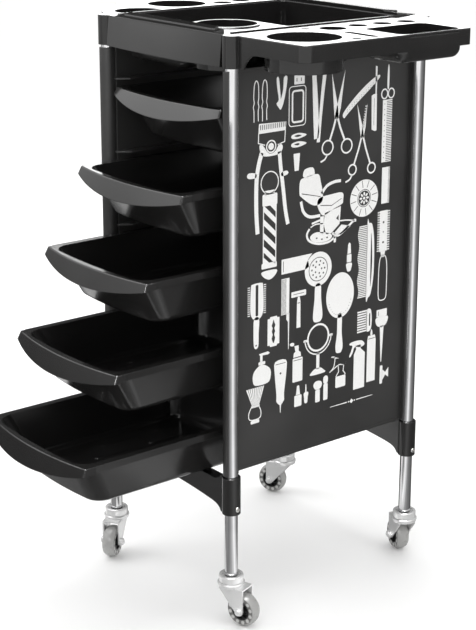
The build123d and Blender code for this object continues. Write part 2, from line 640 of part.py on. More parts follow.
# Wheel core: bearing boss, spoked dish, face ring, and a perforated flange inside the tyre.
with BuildPart() as wheel_core:
    with BuildSketch(Plane.XY):
        with BuildLine():
            bore_r, boss_half, face_half = axle_r + 0.06, 10.8, 9.3
            side = [(bore_r, boss_half), (boss_r, boss_half), (boss_r + 0.7, 4), (12, 4),
                    (12.4, face_half), (face_r, face_half), (face_r, core_half), (core_r, core_half)]
            Polyline(*side, *[(r, -y) for r, y in reversed(side)], close=True)
        make_face()
    revolve(axis=Axis.Y)
    with BuildSketch(Plane.XZ.offset(-8)):
        with PolarLocations(9.6, 5):
            Rectangle(6.4, 2)
    extrude(amount=16)
    with BuildSketch(Plane.XZ.offset(-core_half - 1)):
        with PolarLocations(lug_pitch_r, lug_count):
            Circle(lug_r)
    extrude(amount=2 * core_half + 2, mode=Mode.SUBTRACT)

# Soft tyre moulded over the flange and through its holes.
with BuildPart() as tyre:
    with BuildSketch(Plane.XY):
        with BuildLine():
            Polyline((21.2, wheel_half), (face_r, 9.3), (face_r, -9.3), (21.2, -wheel_half))
            ThreePointArc((21.2, -wheel_half), (wheel_r, 0), (21.2, wheel_half))
        make_face()
    revolve(axis=Axis.Y)
    fillet(tyre.edges().filter_by(GeomType.CIRCLE).filter_by(
        lambda e: abs(e.radius - 21.2) < 0.01), 1.5)
    add(wheel_core.part, mode=Mode.SUBTRACT)

on_axle = Location((trail, 0, axle_z))
for end, sy in ENDS.items():
    for side, sx in SIDES.items():
        spot = f"{end}_{side}"
        stand = Location((sx * leg_x, sy * leg_y, 0), (0, 0, caster_heading[spot]))
        save(caster_stem, f"caster_stem_{spot}", stand)
        save(swivel_balls, f"caster_balls_{spot}", stand)
        save(caster_fork, f"caster_fork_{spot}", stand)
        for piece, name in ((caster_axle, "axle"), (caster_nut, "nut"),
                            (wheel_core, "wheel"), (tyre, "tyre")):
            save(piece, f"caster_{name}_{spot}", stand * on_axle)

with BuildPart() as stem_sockets:
    for sx in (-1, 1):
        for sy in (-1, 1):
            add(stem_socket.part.moved(Location((sx * leg_x, sy * leg_y, 0))))
save(stem_sockets, "stem_sockets")
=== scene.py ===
"""Looks of the salon trolley cart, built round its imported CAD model. Metres, in the row's frame."""

import json
import math

import bmesh
import bpy
from mathutils import Matrix, Vector
from mathutils.geometry import tessellate_polygon


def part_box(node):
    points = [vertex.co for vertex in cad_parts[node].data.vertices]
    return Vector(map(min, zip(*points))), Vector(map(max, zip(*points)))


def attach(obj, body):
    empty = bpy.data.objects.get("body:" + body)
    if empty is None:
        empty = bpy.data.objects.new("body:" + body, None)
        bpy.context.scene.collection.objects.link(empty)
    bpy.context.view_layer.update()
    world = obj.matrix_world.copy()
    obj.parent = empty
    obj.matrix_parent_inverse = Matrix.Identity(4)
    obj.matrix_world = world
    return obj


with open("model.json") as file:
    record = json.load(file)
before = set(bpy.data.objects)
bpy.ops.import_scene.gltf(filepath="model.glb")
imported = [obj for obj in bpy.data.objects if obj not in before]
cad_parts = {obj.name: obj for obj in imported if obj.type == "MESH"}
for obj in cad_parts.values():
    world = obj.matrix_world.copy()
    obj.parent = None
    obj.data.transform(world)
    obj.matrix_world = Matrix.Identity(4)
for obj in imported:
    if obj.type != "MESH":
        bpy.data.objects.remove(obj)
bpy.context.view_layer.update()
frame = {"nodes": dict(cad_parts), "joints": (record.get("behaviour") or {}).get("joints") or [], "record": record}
nodes = frame["nodes"]
MM = 0.001
LEG_CENTRE_Y = (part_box("leg_front_left")[0].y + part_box("leg_rear_left")[1].y) / 2


# ---------------------------------------------------------------- camera
AZIMUTH, ELEVATION, ROLL = (math.radians(a) for a in (51.376, 15.369, 0.119))
DISTANCE, FOCAL_PX, AXIS_ABOVE_MIDDLE_PX = 2.3747, 1555.9, 65.0
LONG_SIDE_PX = 630
target = Vector((-0.0226, LEG_CENTRE_Y - 0.0283, 0.5024))
back = Vector((math.sin(AZIMUTH) * math.cos(ELEVATION), -math.cos(AZIMUTH) * math.cos(ELEVATION),
               math.sin(ELEVATION)))
level = Vector((math.cos(AZIMUTH), math.sin(AZIMUTH), 0))
upward = back.cross(level)
right = level * math.cos(ROLL) + upward * math.sin(ROLL)
up = upward * math.cos(ROLL) - level * math.sin(ROLL)
camera = bpy.data.objects.new("camera", bpy.data.cameras.new("camera"))
bpy.context.scene.collection.objects.link(camera)
facing = Matrix((right, up, back)).transposed().to_4x4()
camera.matrix_world = Matrix.Translation(target + back * DISTANCE) @ facing
camera.data.lens = FOCAL_PX / LONG_SIDE_PX * camera.data.sensor_width
camera.data.shift_y = -AXIS_ABOVE_MIDDLE_PX / LONG_SIDE_PX
bpy.context.scene.camera = camera


# ---------------------------------------------------------------- studio
def softbox(name, azimuth, elevation, distance, width, height, radiance, aim_z=0.45, lights=True):
    """Rectangular area light round the cart. Azimuth is counted from the camera's, to its right.
    One that doesn't light the surfaces is seen only in their gloss."""
    a = AZIMUTH + math.radians(azimuth)
    e = math.radians(elevation)
    out = Vector((math.sin(a) * math.cos(e), -math.cos(a) * math.cos(e), math.sin(e)))
    light = bpy.data.lights.new(name, "AREA")
    light.shape = "RECTANGLE"
    light.size, light.size_y = width, height
    light.energy = radiance * math.pi * width * height
    lamp = bpy.data.objects.new(name, light)
    lamp.location = Vector((0, 0, aim_z)) + out * distance
    lamp.rotation_euler = out.to_track_quat("Z", "Y").to_euler()
    lamp.visible_camera = False
    lamp.visible_diffuse = lights
    bpy.context.scene.collection.objects.link(lamp)


# name, azimuth, elevation, distance, width, height, radiance
softbox("key_left", -100, 36, 2.6, 1.6, 1.8, 2.6)
softbox("back_wall", 180, 6.5, 3.2, 4.6, 0.55, 3.4, aim_z=0.86)
softbox("overhead", 0, 88, 2.6, 1.3, 1.3, 5.0)
softbox("fill_right", 62, 22, 3.0, 1.2, 1.8, 1.2)
softbox("edge_overhead", 0, 80, 2.4, 1.6, 1.6, 26.0, lights=False)
softbox("edge_front", -14, 25, 2.5, 0.6, 0.5, 26.0, lights=False)

card_paper = bpy.data.materials.new("card_paper")
card_paper.use_nodes = True
card_paper.node_tree.nodes.clear()
card_glow = card_paper.node_tree.nodes.new("ShaderNodeEmission")
card_out = card_paper.node_tree.nodes.new("ShaderNodeOutputMaterial")
card_shade = card_paper.node_tree.nodes.new("ShaderNodeAttribute")
card_shade.attribute_name = "glow"
card_paper.node_tree.links.new(card_shade.outputs["Color"], card_glow.inputs["Color"])
card_paper.node_tree.links.new(card_glow.outputs[0], card_out.inputs["Surface"])


def card(name, columns):
    """Card round the cart, seen only in reflections. Each column is an azimuth, counted from the
    camera's to its right, and the (radius, height, glow) of the points on it."""
    spots, glows, faces = [], [], []
    for azimuth, points in columns:
        a = AZIMUTH + math.radians(azimuth)
        for radius, height, glow in points:
            spots.append((radius * math.sin(a), LEG_CENTRE_Y - radius * math.cos(a), height))
            glows += (glow, glow, glow, 1)
    rows = len(columns[0][1])
    for column in range(len(columns) - 1):
        for row in range(rows - 1):
            k = column * rows + row
            faces.append((k, k + rows, k + rows + 1, k + 1))
    data = bpy.data.meshes.new(name)
    data.from_pydata(spots, [], faces)
    data.color_attributes.new("glow", "FLOAT_COLOR", "POINT").data.foreach_set("color", glows)
    data.materials.append(card_paper)
    made = bpy.data.objects.new(name, data)
    bpy.context.scene.collection.objects.link(made)
    made.visible_camera = made.visible_diffuse = False
    made.visible_shadow = made.visible_transmission = False


# The cards shade the chrome and the gloss plastic from the white room. The round one lies on the
# floor under the cart and stands up at its outer radius. Its rows are azimuth, glow and height.
ROUND = ((-40, 0.2, 0.6), (-32, 0.22, 0.6), (-16, 0.34, 0.6), (0, 0.58, 0.6), (16, 1.1, 0.6),
         (32, 0.75, 0.65), (48, 0.34, 0.75), (64, 0.21, 0.8), (80, 0.16, 0.8), (96, 0.12, 0.8),
         (120, 0.1, 0.8), (144, 0.1, 0.8), (168, 0.1, 0.8), (192, 0.1, 0.8), (212, 0.11, 0.8),
         (232, 0.12, 0.8))
ROUND_INNER, ROUND_OUTER, LEFT_RADIUS, BACK_RADIUS = 0.12, 1.0, 1.2, 3.0
ON_FLOOR = 2 * MM
LEFT_FLOOR_GLOW, BACK_GLOW = 0.28, 0.03
card("card_round", [(azimuth, [(ROUND_INNER, ON_FLOOR, glow), (ROUND_OUTER, ON_FLOOR, glow),
                               (ROUND_OUTER, top, glow)]) for azimuth, glow, top in ROUND])
# On the left they glow more with height, so the tray handles get darker from the top one down.
LEFT = [(LEFT_RADIUS, height, glow) for height, glow in ((0.0, 0.06), (0.5, 0.14), (0.9, 1.05), (1.3, 3.0))]
card("card_left", [(azimuth, LEFT) for azimuth in (-132, -115, -98, -81, -64)])
LEFT_LOW = [(LEFT_RADIUS, 0.0, 0.1), (LEFT_RADIUS, 0.6, 0.2)]
card("card_left_low", [(azimuth, LEFT_LOW) for azimuth in (-64, -52, -40)])
LEFT_FLOOR = [(0.3, ON_FLOOR, LEFT_FLOOR_GLOW), (0.8, ON_FLOOR, LEFT_FLOOR_GLOW)]
card("card_left_floor", [(azimuth, LEFT_FLOOR) for azimuth in (-100, -80, -60, -40)])
HIGH_BACK = [(BACK_RADIUS, 1.5, BACK_GLOW), (BACK_RADIUS, 3.4, BACK_GLOW)]
card("card_high_back", [(azimuth, HIGH_BACK) for azimuth in (150, 170, 190, 210)])

ROOM_COLOR, ROOM_STRENGTH = (1.0, 0.998, 0.995, 1), 1.08
world = bpy.data.worlds.new("studio")
bpy.context.scene.world = world
world.use_nodes = True
room = world.node_tree.nodes["Background"]
room.inputs["Color"].default_value = ROOM_COLOR
room.inputs["Strength"].default_value = ROOM_STRENGTH
bpy.context.scene.view_settings.view_transform = "Standard"


# ---------------------------------------------------------------- materials
class Paint:
    """One procedural material: a Principled shader and the nodes that feed it."""

    def __init__(self, name, color, roughness, metallic=0.0, **sockets):
        self.material = bpy.data.materials.new(name)
        self.material.use_nodes = True
        self.tree = self.material.node_tree
        self.shader = self.tree.nodes["Principled BSDF"]
        self.shader.inputs["Base Color"].default_value = (*color, 1)
        self.shader.inputs["Roughness"].default_value = roughness
        self.shader.inputs["Metallic"].default_value = metallic
        for socket, value in sockets.items():
            self.shader.inputs[socket.replace("_", " ")].default_value = value
        self.where = self.node("ShaderNodeTexCoord").outputs["Object"]
        self.height = None

    def soften(self, radius):
        """Rounds the sharp edges in the shading only. Comes before any bump."""
        self.height = self.node("ShaderNodeBevel", Radius=radius).outputs["Normal"]
        self.join(self.height, self.shader.inputs["Normal"])
        return self

    def node(self, kind, *links, **values):
        """New node. links feed its sockets in order, values set its properties or named sockets."""
        made = self.tree.nodes.new(kind)
        for key, value in values.items():
            if hasattr(made, key):
                setattr(made, key, value)
            else:
                made.inputs[key.replace("_", " ")].default_value = value
        for socket, link in zip(made.inputs, links):
            if link is not None:
                self.join(link, socket)
        return made

    def join(self, value, socket):
        if isinstance(value, (int, float)):
            socket.default_value = value
        else:
            self.tree.links.new(value, socket)

    def math(self, operation, *values):
        return self.node("ShaderNodeMath", *values, operation=operation).outputs[0]

    def hypotenuse(self, a, b):
        return self.math("SQRT", self.math("ADD", self.math("MULTIPLY", a, a), self.math("MULTIPLY", b, b)))

    def noise(self, scale, detail=2.0, stretch=(1, 1, 1)):
        place = self.node("ShaderNodeMapping", self.where, Scale=stretch).outputs[0]
        return self.node("ShaderNodeTexNoise", place, Scale=scale, Detail=detail).outputs["Fac"]

    def fit(self, value, low, high, to_low, to_high):
        made = self.node("ShaderNodeMapRange", value)
        for name, number in (("From Min", low), ("From Max", high), ("To Min", to_low), ("To Max", to_high)):
            made.inputs[name].default_value = number
        return made.outputs[0]

    def rough(self, value):
        self.join(value, self.shader.inputs["Roughness"])
        return self

    def tint(self, value, dark, light):
        """Base colour runs from dark to light as value goes from 0 to 1."""
        ramp = self.node("ShaderNodeValToRGB", value)
        ramp.color_ramp.elements[0].color = (*dark, 1)
        ramp.color_ramp.elements[1].color = (*light, 1)
        self.join(ramp.outputs["Color"], self.shader.inputs["Base Color"])
        return self

    def bump(self, value, depth, strength=1.0):
        """Adds relief of that depth in metres over any relief already there."""
        made = self.node("ShaderNodeBump", Strength=strength, Distance=depth)
        self.join(value, made.inputs["Height"])
        if self.height:
            self.join(self.height, made.inputs["Normal"])
        self.height = made.outputs["Normal"]
        self.join(self.height, self.shader.inputs["Normal"])
        return self


MOULDED_EDGE_RADIUS, WAVE_DEPTH, STREAK_DEPTH = 1.2 * MM, 0.4 * MM, 0.02 * MM


def moulded(name, color, gloss, dull, grain_depth):
    """Injection-moulded plastic: soft waviness, fine grain, faint rubs and a little colour drift."""
    paint = Paint(name, color, gloss, IOR=1.52).soften(MOULDED_EDGE_RADIUS)
    cloud = paint.noise(9, 3)
    rubs = paint.noise(60, 4, (1, 1, 9))
    waves = paint.noise(14, 1)
    grain = paint.noise(2600, 2)
    mix = paint.math("ADD", paint.math("MULTIPLY", cloud, 0.7), paint.math("MULTIPLY", rubs, 0.3))
    paint.rough(paint.fit(mix, 0.32, 0.68, gloss, dull))
    paint.tint(paint.fit(cloud, 0.3, 0.7, 0, 1), [c * 0.85 for c in color], [c * 1.2 for c in color])
    paint.bump(waves, WAVE_DEPTH, 0.2)
    paint.bump(grain, grain_depth, 0.25)
    return paint


def plated(name, color, roughness, edge, streaks, bruise, metallic=1.0):
    """Bright plating: polishing streaks, faint cloudiness and a darker grazing reflection."""
    paint = Paint(name, color, roughness, metallic=metallic)
    paint.shader.inputs["Specular Tint"].default_value = (edge, edge, edge, 1)
    fine = paint.noise(420, 3, streaks)
    cloud = paint.noise(38, 3)
    paint.rough(paint.fit(paint.math("MULTIPLY", fine, cloud), 0.12, 0.4, roughness, roughness + bruise))
    paint.tint(paint.fit(cloud, 0.3, 0.7, 0, 1), [c * 0.93 for c in color], color)
    paint.bump(fine, STREAK_DEPTH, 0.25)
    return paint


FLANGE_HOLES, HOLE_CIRCLE_RADIUS = 12, 18.0 * MM


def tyre_paint(name, centre, heading):
    """Grey see-through tyre: the holes of the flange inside it show as a ring of paler dots."""
    paint = Paint(name, (0.3, 0.3, 0.295), 0.3, IOR=1.5)
    local = paint.node("ShaderNodeVectorMath", paint.where, operation="SUBTRACT")
    local.inputs[1].default_value = centre
    turned = paint.node("ShaderNodeVectorRotate", local.outputs[0], rotation_type="Z_AXIS", Angle=-heading)
    x, y, z = paint.node("ShaderNodeSeparateXYZ", turned.outputs[0]).outputs
    radius = paint.hypotenuse(x, z)
    step = 2 * math.pi / FLANGE_HOLES
    angle = paint.math("ARCTAN2", z, x)
    folded = paint.math("SUBTRACT", paint.math("FRACT", paint.math("DIVIDE", angle, step)), 0.5)
    across = paint.math("MULTIPLY", paint.math("MULTIPLY", folded, step), radius)
    along = paint.math("SUBTRACT", radius, HOLE_CIRCLE_RADIUS)
    reach = paint.hypotenuse(across, along)
    dots = paint.fit(reach, 2.4 * MM, 3.2 * MM, 1, 0)
    inside = paint.fit(radius, 20.0 * MM, 22.2 * MM, 0, 0.62)
    side = paint.fit(paint.math("ABSOLUTE", y), 8.4 * MM, 9.2 * MM, 0, 1)
    pale = paint.math("MAXIMUM", paint.math("MULTIPLY", dots, side), inside)
    paint.tint(paint.math("MULTIPLY_ADD", paint.noise(260, 3), 0.12, paint.math("MULTIPLY", pale, 0.88)),
               (0.115, 0.113, 0.11), (0.5, 0.5, 0.49))
    paint.rough(paint.fit(paint.noise(90, 3), 0.3, 0.7, 0.22, 0.42))
    paint.bump(paint.noise(700, 2), 0.06 * MM, 0.4)
    return paint


POLISHED_GRAIN, HUB_GRAIN, SATIN_GRAIN = 0.005 * MM, 0.02 * MM, 0.04 * MM
# name, colour, lowest and highest roughness, depth of the grain
gloss = moulded("gloss_black_plastic", (0.0125, 0.0122, 0.012), 0.1, 0.17, POLISHED_GRAIN)
tray_gloss = moulded("tray_black_plastic", (0.0115, 0.0112, 0.011), 0.12, 0.2, POLISHED_GRAIN)
satin = moulded("panel_satin_plastic", (0.029, 0.0285, 0.028), 0.34, 0.44, SATIN_GRAIN)
socket = moulded("socket_black_plastic", (0.02, 0.02, 0.02), 0.4, 0.5, SATIN_GRAIN)
hub = moulded("hub_black_plastic", (0.012, 0.012, 0.012), 0.2, 0.3, HUB_GRAIN)
# name, colour, roughness, tint of the grazing reflection, stretch of the streaks, added roughness
chrome = plated("leg_chrome", (0.86, 0.86, 0.87), 0.055, 0.28, (1, 1, 0.02), 0.06)
zinc = plated("caster_bright_plating", (0.9, 0.9, 0.9), 0.12, 0.45, (1, 1, 1), 0.14, metallic=0.5)
screw = plated("screw_nickel", (0.82, 0.81, 0.79), 0.12, 0.5, (1, 1, 1), 0.12)
steel = plated("ball_steel", (0.62, 0.62, 0.63), 0.18, 0.6, (1, 1, 1), 0.1)

BY_SLOT = {"leg_chrome": chrome, "caster_plating": zinc, "bearing_steel": steel, "screw_plating": screw,
           "wheel_core": hub, "socket_plastic": socket, "panel_plastic": satin,
           "tray_plastic": tray_gloss, "gloss_black": gloss}
spin_axis = {j["child"]: j["axis"] for j in frame["joints"] if j["child"].startswith("wheel_")}
for part in frame["record"]["subparts"]:
    node = nodes[part["node"]]
    if part["material_slot"] == "tyre":
        low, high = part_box(part["node"])
        axle = spin_axis[part["node"].replace("caster_tyre", "wheel")]
        paint = tyre_paint(part["node"].replace("caster_tyre", "tyre_grey"), (low + high) / 2,
                           math.atan2(-axle[0], axle[1]))
    else:
        paint = BY_SLOT[part["material_slot"]]
    node.data.materials.clear()
    node.data.materials.append(paint.material)

print_ink = Paint("print_white_ink", (0.8, 0.8, 0.79), 0.42)
print_ink.tint(print_ink.noise(900, 4), (0.66, 0.66, 0.65), (0.86, 0.86, 0.85))
print_ink.rough(print_ink.fit(print_ink.noise(300, 2), 0.3, 0.7, 0.36, 0.5))
print_ink.bump(print_ink.noise(3000, 2), 0.03 * MM, 0.5)

floor_paint = Paint("floor_pale", (0.9, 0.9, 0.895), 0.6)
floor_paint.tint(floor_paint.noise(1.3, 2), (0.92, 0.92, 0.918), (0.94, 0.94, 0.938))
floor_paint.bump(floor_paint.noise(160, 2), 0.1 * MM, 0.2)
FLOOR_SIDE = 40
bpy.ops.mesh.primitive_grid_add(x_subdivisions=8, y_subdivisions=8, size=FLOOR_SIDE, location=(0, 0, 0))
floor = bpy.context.object
floor.name = "floor"
floor.data.materials.append(floor_paint.material)


# ---------------------------------------------------------------- printed panels
# The print is drawn in millimetres: u runs from the panel's middle to the right, as seen from
# outside, and v is the height above the floor.
shapes = []


def solid(outline, *holes):
    """Filled outline, less its holes."""
    shapes.append([outline, *holes])


def smooth(points, closed=False, steps=5):
    """Soft curve through the points."""
    count = len(points)
    path = []
    for i in range(count if closed else count - 1):
        four = [points[(i + k) % count] if closed else points[min(max(i + k, 0), count - 1)]
                for k in (-1, 0, 1, 2)]
        for s in range(steps):
            t = s / steps
            path.append(tuple(0.5 * (2 * b + (c - a) * t + (2 * a - 5 * b + 4 * c - d) * t * t
                                     + (3 * b - a - 3 * c + d) * t ** 3) for a, b, c, d in zip(*four)))
    if not closed:
        path.append(tuple(points[-1]))
    return path


def beside(points, distance, closed=False):
    """The path shifted sideways, its corners mitred."""
    path = [Vector(p) for p in points]
    count, moved = len(path), []
    for i, p in enumerate(path):
        before = (p - path[i - 1]).normalized() if closed or i else None
        after = (path[(i + 1) % count] - p).normalized() if closed or i < count - 1 else None
        before, after = before or after, after or before
        along = (before + after).normalized()
        side = Vector((-along.y, along.x))
        cut = max(0.4, side.dot(Vector((-before.y, before.x))))
        moved.append(tuple(p + side * distance / cut))
    return moved


def double_area(path):
    return abs(sum(a[0] * b[1] - a[1] * b[0] for a, b in zip(path, path[1:] + path[:1])))


def line(points, width, closed=False):
    """Stroke of that width along a path."""
    one, other = beside(points, width / 2, closed), beside(points, -width / 2, closed)
    if closed:
        solid(*((one, other) if double_area(one) > double_area(other) else (other, one)))
    else:
        solid(one + other[::-1])


def oval(u, v, a, b=None, turn=0.0, count=28):
    """Circle, or an ellipse if it has a second radius, turned by that many degrees."""
    b = a if b is None else b
    c, s = math.cos(math.radians(turn)), math.sin(math.radians(turn))
    points = [(a * math.cos(2 * math.pi * k / count), b * math.sin(2 * math.pi * k / count))
              for k in range(count)]
    return [(u + x * c - y * s, v + x * s + y * c) for x, y in points]


def block(u0, v0, u1, v1, r=0.0):
    """Rectangle with rounded corners."""
    if not r:
        return [(u0, v0), (u1, v0), (u1, v1), (u0, v1)]
    corners = ((u1 - r, v0 + r, -90), (u1 - r, v1 - r, 0), (u0 + r, v1 - r, 90), (u0 + r, v0 + r, 180))
    return [(cu + r * math.cos(math.radians(a + k * 22.5)), cv + r * math.sin(math.radians(a + k * 22.5)))
            for cu, cv, a in corners for k in range(5)]


def ring(u, v, r, width, b=None):
    line(oval(u, v, r, b), width, True)


def comb(u0, u1, v0, v1, spine, pitch, gap, side=1):
    """Comb body with its teeth towards +u (side 1) or -u (side -1)."""
    spine_edge, tip = (u0, u1) if side > 0 else (u1, u0)
    root = spine_edge + side * spine
    path = [(spine_edge, v0)]
    v = v0
    while v + pitch <= v1:
        path += [(tip, v), (tip, v + pitch - gap), (root, v + pitch - gap), (root, v + pitch)]
        v += pitch
    path += [(tip, v), (tip, v1), (spine_edge, v1)]
    solid(path)


def scissors(pivot, tips, rings, ring_r, blade, shank, teeth=False):
    """Two blades crossing at the pivot, two finger rings and a small rest on the first ring."""
    for tip, eye in zip(tips, rings):
        p, t, e = Vector(pivot), Vector(tip), Vector(eye)
        out = (t - p).normalized()
        side = Vector((-out.y, out.x))
        solid([tuple(p - side * blade * 0.8), tuple(p + out * 14 - side * blade), tip,
               tuple(p + out * 14 + side * blade * 0.8), tuple(p + side * blade * 0.9)])
        near = e + (p - e).normalized() * ring_r
        line([tuple(p + out * 3), tuple(p.lerp(near, 0.45)), tuple(near)], shank)
        ring(*eye, ring_r - 1.2, 2.3)
    if teeth:
        p, t = Vector(pivot), Vector(tips[1])
        for k in range(9):
            at = p.lerp(t, 0.28 + 0.08 * k)
            solid(block(at.x - 3.2, at.y, at.x + 1.0, at.y + 1.5))
    rest = Vector(rings[0])
    line(smooth([tuple(rest + Vector((-1, -ring_r + 0.5))), tuple(rest + Vector((-5, -ring_r - 5))),
                 tuple(rest + Vector((-13, -ring_r - 8)))]), 2.6)


# Upper left: pins, clip, bottle, tongs.
for u in (-128, -113):
    line(smooth([(u - 4, 736), (u - 4, 751), (u - 5.2, 757), (u - 3.6, 763), (u - 4.6, 770), (u - 3.4, 787),
                 (u, 793), (u + 3.6, 787), (u + 4.2, 770), (u + 3.2, 763), (u + 4.6, 757), (u + 3.4, 751),
                 (u + 3.8, 737)]), 1.4)
solid(smooth([(-92, 793), (-88, 793), (-85, 770), (-84, 764), (-80, 778), (-79, 793), (-73, 794), (-74, 780),
              (-79, 759), (-84, 749), (-88, 752), (-92, 758), (-88, 763), (-91, 780)], True, 3))
solid(block(-60, 781, -41, 794, 1), block(-56, 785, -54.5, 790), block(-48, 785, -46.5, 790))
line(block(-69, 722.5, -38.5, 778.5, 5), 1.3, True)
line(block(-63, 728, -43, 772, 4), 2.7, True)
solid([(-27, 792), (-19.5, 792), (-16, 757), (-12.5, 710), (-14, 700), (-22, 699), (-24, 730)])
solid([(-7, 792), (0, 792), (-4, 764), (-8, 730), (-11, 694), (-17, 694), (-14, 720), (-11, 756)])
scissors((20.5, 726), ((10, 791), (35.5, 793)), ((4, 684), (41, 682)), 11.5, 4.4, 3.4)
solid(oval(20.5, 726, 3.2), oval(20.5, 726, 1.1))

# Upper right: razor, thinning scissors, nail scissors, combs, dial.
razor_specks = [oval(41 + 4.5 * k, 733 + 3.3 * k - 0.02 * k * k + 1.5 * j, 0.62, count=7)
                for k in range(13) for j in (-1, 1)]
solid(smooth([(32, 727), (36, 734), (56, 752), (80, 769), (100, 779), (103, 775), (84, 760), (60, 743),
              (40, 727), (35, 723)], True, 4), *razor_specks)
solid([(95, 793), (98.5, 792), (98, 752), (95.5, 752)])
solid([(88, 750), (92.5, 752), (98.5, 752), (99.5, 698), (96, 697), (89.5, 700)], block(93.2, 706, 93.9, 746))
scissors((71.5, 692), ((60, 741), (80, 739)), ((53, 645), (91, 643)), 8.8, 3.4, 3.0, teeth=True)
solid(oval(71.5, 692, 2.8), oval(71.5, 692, 0.9))
solid(smooth([(121, 793), (122.6, 786), (122.8, 762), (121, 756), (119, 762), (119.4, 786)], True, 3))
for u in (114, 127.5):
    ring(u, 750, 6, 2, 7)
comb(111, 130, 648, 741, 8, 2.6, 1.1)
for k in range(11):
    shapes[-1].append(oval(115, 655 + 8 * k, 0.8, count=8))
comb(113, 129, 585, 640, 12.5, 1.7, 0.7)
slit = ((16, -0.035), (27, -0.018), (27, 0.018), (16, 0.035))
slits = [[(78 + r * math.cos(a + d), 599 + r * math.sin(a + d)) for r, d in slit]
         for a in (math.radians(30 * k + 10) for k in range(12))]
solid(oval(78, 599, 28, count=48), *slits, oval(78, 599, 13.6))
ring(78, 599, 12, 1.2)
for k in range(8):
    a = math.radians(45 * k)
    solid(oval(78 + 6.6 * math.cos(a), 599 + 6.6 * math.sin(a), 2.9, 1.7, 45 * k, 12))
solid(oval(78, 599, 2.2))

# Hand clipper and the striped pole under it.
solid([(-124, 719), (-75, 719), (-74, 731), (-123, 733)],
      *[block(-121 + 3.4 * k, 724, -119.6 + 3.4 * k, 731) for k in range(14)])
line([(-123.5, 719), (-124, 706), (-112, 702)], 1.5)
line([(-75.5, 719), (-76.5, 703), (-89, 700)], 1.5)
ring(-101, 699, 8.3, 2)
solid(oval(-101, 699, 5))
solid(smooth([(-116, 702), (-108, 692), (-101, 689), (-93, 692), (-86, 701), (-80, 697), (-84, 688),
              (-99, 685.5), (-117, 688), (-122, 702)], True, 4))
line(smooth([(-118, 692), (-124, 672), (-127, 650), (-127, 610), (-124.5, 577)]), 7)
line(smooth([(-86, 690), (-83, 665), (-79, 640), (-74, 605), (-69, 583)]), 6.4)
solid(smooth([(-144, 662), (-140, 666), (-128, 664), (-128, 658), (-140, 658)], True, 4))
solid(smooth([(-69, 658), (-73, 661), (-82, 659), (-81, 654), (-72, 655)], True, 4))
ring(-103, 648, 15.8, 1.6)
solid(block(-112, 631, -94, 637, 1))
solid(block(-116, 615, -89, 632, 2))
line([(-114, 615), (-114, 532)], 1.6)
line([(-91, 615), (-91, 532)], 1.6)
for k in range(4):
    top = 616 - 19.5 * k
    solid([(-113.2, top), (-91.8, top - 20), (-91.8, top - 29), (-113.2, top - 9)])
solid([(-113.2, 541), (-103, 532), (-113.2, 532)])
solid([(-102, 615), (-91.8, 605), (-91.8, 615)])
solid(block(-117, 524, -89, 532, 1.5))
solid(smooth([(-116, 520), (-89.5, 520), (-92, 512), (-102, 507), (-113, 512)], True, 4))

# Middle: lens clips, block, chair.
for v, hole in ((708, 6), (696, -6)):
    solid(smooth([(-63, v + 2), (-50, v + 4), (-36, v), (-50, v - 4), (-63, v - 3)], True, 4),
          smooth([(-59, v + 0.4), (-52, v + 1.6), (-47 + hole * 0.3, v), (-53, v - 1.6)], True, 3))
solid([(-60, 683), (-48, 683), (-50, 658), (-57.5, 658)])
solid(smooth([(-42, 650), (-38, 658), (-24, 659), (-20, 652), (-22, 648), (-38, 646)], True, 4))
solid(smooth([(-47, 642), (-38, 646), (-14, 648), (-8, 636), (-3, 612), (-10, 603), (-24, 604), (-44, 618),
              (-48, 624)], True, 4), [(-44, 622.5), (-8, 613.5), (-8, 614.6), (-44, 623.8)])
line(smooth([(-6, 618), (4, 628), (18, 632), (31, 632)]), 4.5)
line(smooth([(-45, 612), (-40, 596), (-28, 587), (-8, 586)]), 4.6)
solid(smooth([(-10, 612), (8, 614), (34, 614), (36, 602), (34, 597), (18, 592), (0, 585), (-8, 590),
              (-14, 603)], True, 4),
      [(-8, 600.2), (14, 597.0), (33, 604.8), (33, 605.9), (14, 598.2), (-8, 601.4)])
solid([(1, 588), (32, 594), (30, 568), (14, 556), (4, 556), (-1, 572)], [(23, 577), (28, 582), (28, 573)])
solid([(-8, 584), (-1, 584), (-1, 558), (-8, 560)])
line([(-24, 576), (-8, 579)], 3)
line(smooth([(16, 556), (30, 551), (58, 568), (61, 566)]), 3.6)
line(smooth([(31, 572), (44, 571), (60, 568)]), 2)
solid([(18, 554), (33, 551), (52, 561), (34, 566)])
line(smooth([(-28, 569), (-33, 561), (-28, 551), (-10, 544), (10, 544), (22, 550)]), 3.4)
line(smooth([(-26, 571), (-16, 574), (-2, 573)]), 1.8)
solid(smooth([(-26, 558), (-14, 562), (6, 558), (16, 552), (8, 546), (-10, 546), (-24, 551)], True, 4),
      oval(-14, 553, 1.8, 1.2), oval(-4, 550, 1.8, 1.2), oval(6, 551, 1.8, 1.2))
solid(block(19, 541, 23.5, 550, 1))

